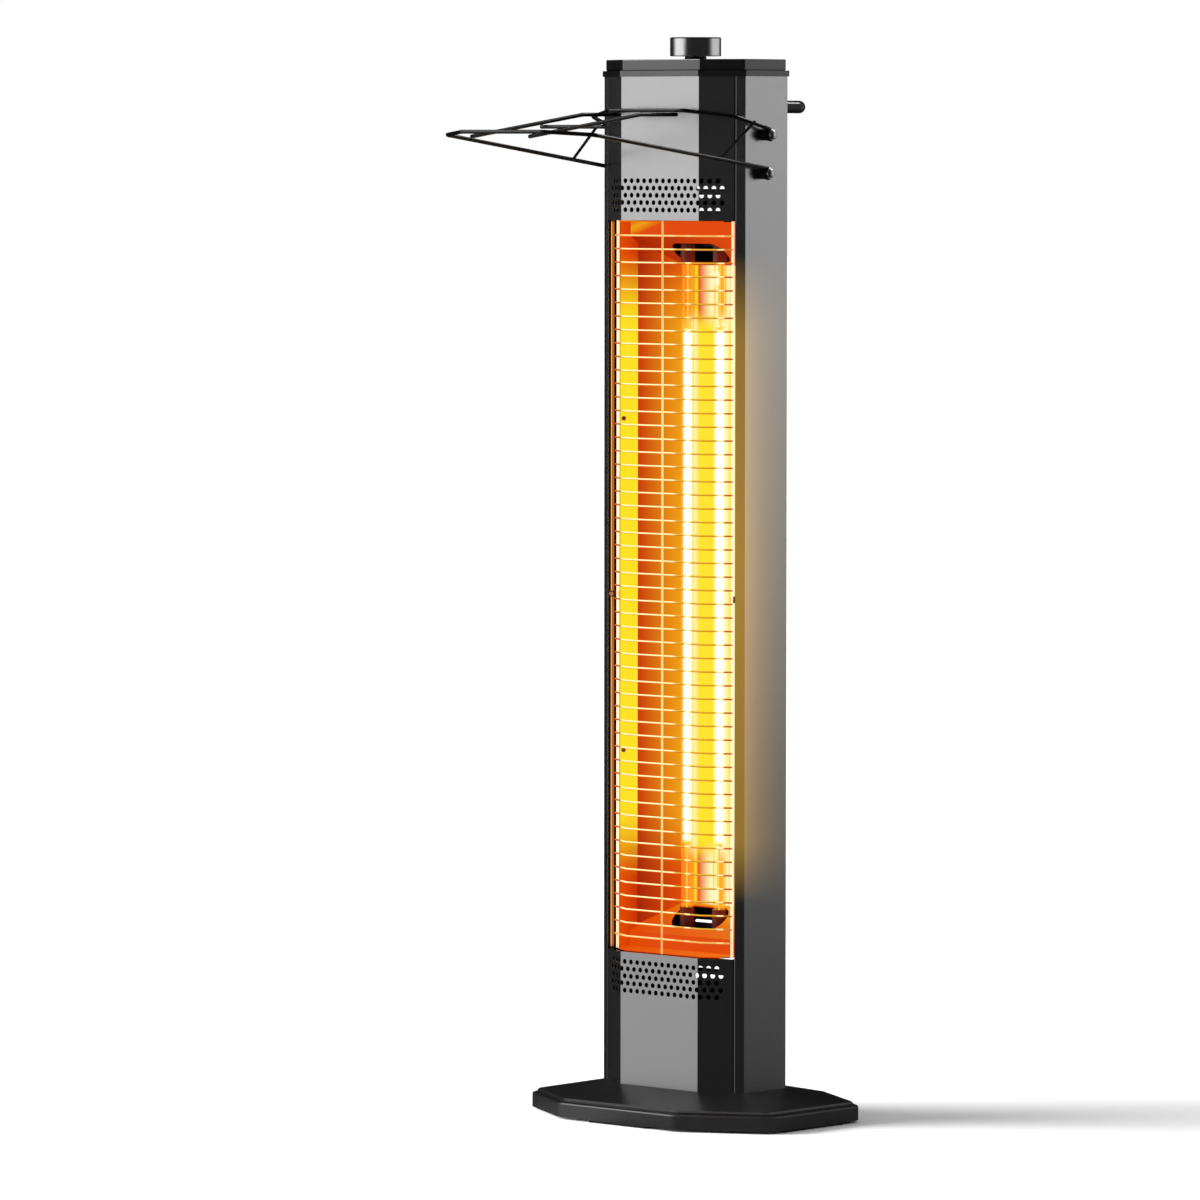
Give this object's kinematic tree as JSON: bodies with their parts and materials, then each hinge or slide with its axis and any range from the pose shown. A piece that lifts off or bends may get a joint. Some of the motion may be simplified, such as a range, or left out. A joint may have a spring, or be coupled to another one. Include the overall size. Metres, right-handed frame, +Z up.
{
  "type": "infrared patio heater tower",
  "caption": "Free-standing column heater with glowing quartz lamps behind a wire grille, weighted base, wire rack in front, carry handle behind and a turning knob on top.",
  "frame": {"origin": "on the floor, under the axis of the column and of the control knob", "axes": "+Z up; the lamps and grille face -Y; +X is to the right seen from the front; the carry handle is on the +Y side"},
  "size_m": [0.325, 0.4019, 1.08],
  "materials": {
    "graphite_paint": "satin dark metallic paint",
    "black_cover": "satin black paint",
    "gloss_black": "glossy black",
    "black_wire": "glossy black coating",
    "black_plastic": "plain black",
    "rubber": "matte",
    "weight_steel": "plain dark steel",
    "zinc": "bright zinc",
    "dark_screw": "blackened, shiny",
    "reflector_sheet": "bright, lit orange by the lamps",
    "grille_wire": "bright, lit by the lamps",
    "quartz": "clear quartz",
    "element": "glowing",
    "ceramic": "ceramic, lit by the lamps",
    "block_plastic": "pale"
  },
  "bodies": {
    "tower": {"base_cover": "black_cover", "base_plate": "weight_steel", "foot_pads": "rubber", "base_spacers": "zinc", "base_screws": "zinc", "tower_foot": "zinc", "body_shell": "graphite_paint", "upper_front_panel": "graphite_paint", "lower_front_panel": "graphite_paint", "rear_cover": "black_cover", "rear_cover_screws": "dark_screw", "cord_gland": "black_plastic", "terminal_block": "block_plastic", "tilt_switch": "black_plastic", "reflector": "reflector_sheet", "upper_reflector_end": "reflector_sheet", "lower_reflector_end": "reflector_sheet", "reflector_brackets": "zinc", "reflector_rivets": "dark_screw", "left_lamp_tube": "quartz", "right_lamp_tube": "quartz", "left_element": "element", "right_element": "element", "upper_lamp_ends": "ceramic", "lower_lamp_ends": "ceramic", "upper_lamp_bracket": "zinc", "lower_lamp_bracket": "zinc", "thermal_cutout": "ceramic", "grille_wires": "grille_wire", "grille_upright": "grille_wire", "grille_side_bars": "grille_wire", "grille_clips": "zinc", "grille_screws": "grille_wire", "cap_rim": "black_cover", "top_cap": "black_cover", "rotary_switch": "black_plastic", "switch_nut": "gloss_black", "rack_lower_frame": "black_wire", "rack_upper_frame": "black_wire", "rack_ribs": "black_wire", "rack_crossbar": "black_wire", "rack_struts": "black_wire", "rack_standoffs": "black_plastic", "rack_screws": "dark_screw", "carry_handle": "black_wire", "handle_flanges": "black_plastic", "handle_screws": "zinc"},
    "knob": {"control_knob": "gloss_black", "switch_shaft": "zinc"}
  },
  "joints": [
    {"name": "knob_turn", "type": "hinge", "parent": "tower", "child": "knob", "pos_m": [0, 0, 1.0612], "axis": [0, 0, 1], "range_deg": [-270, 0]}
  ]
}
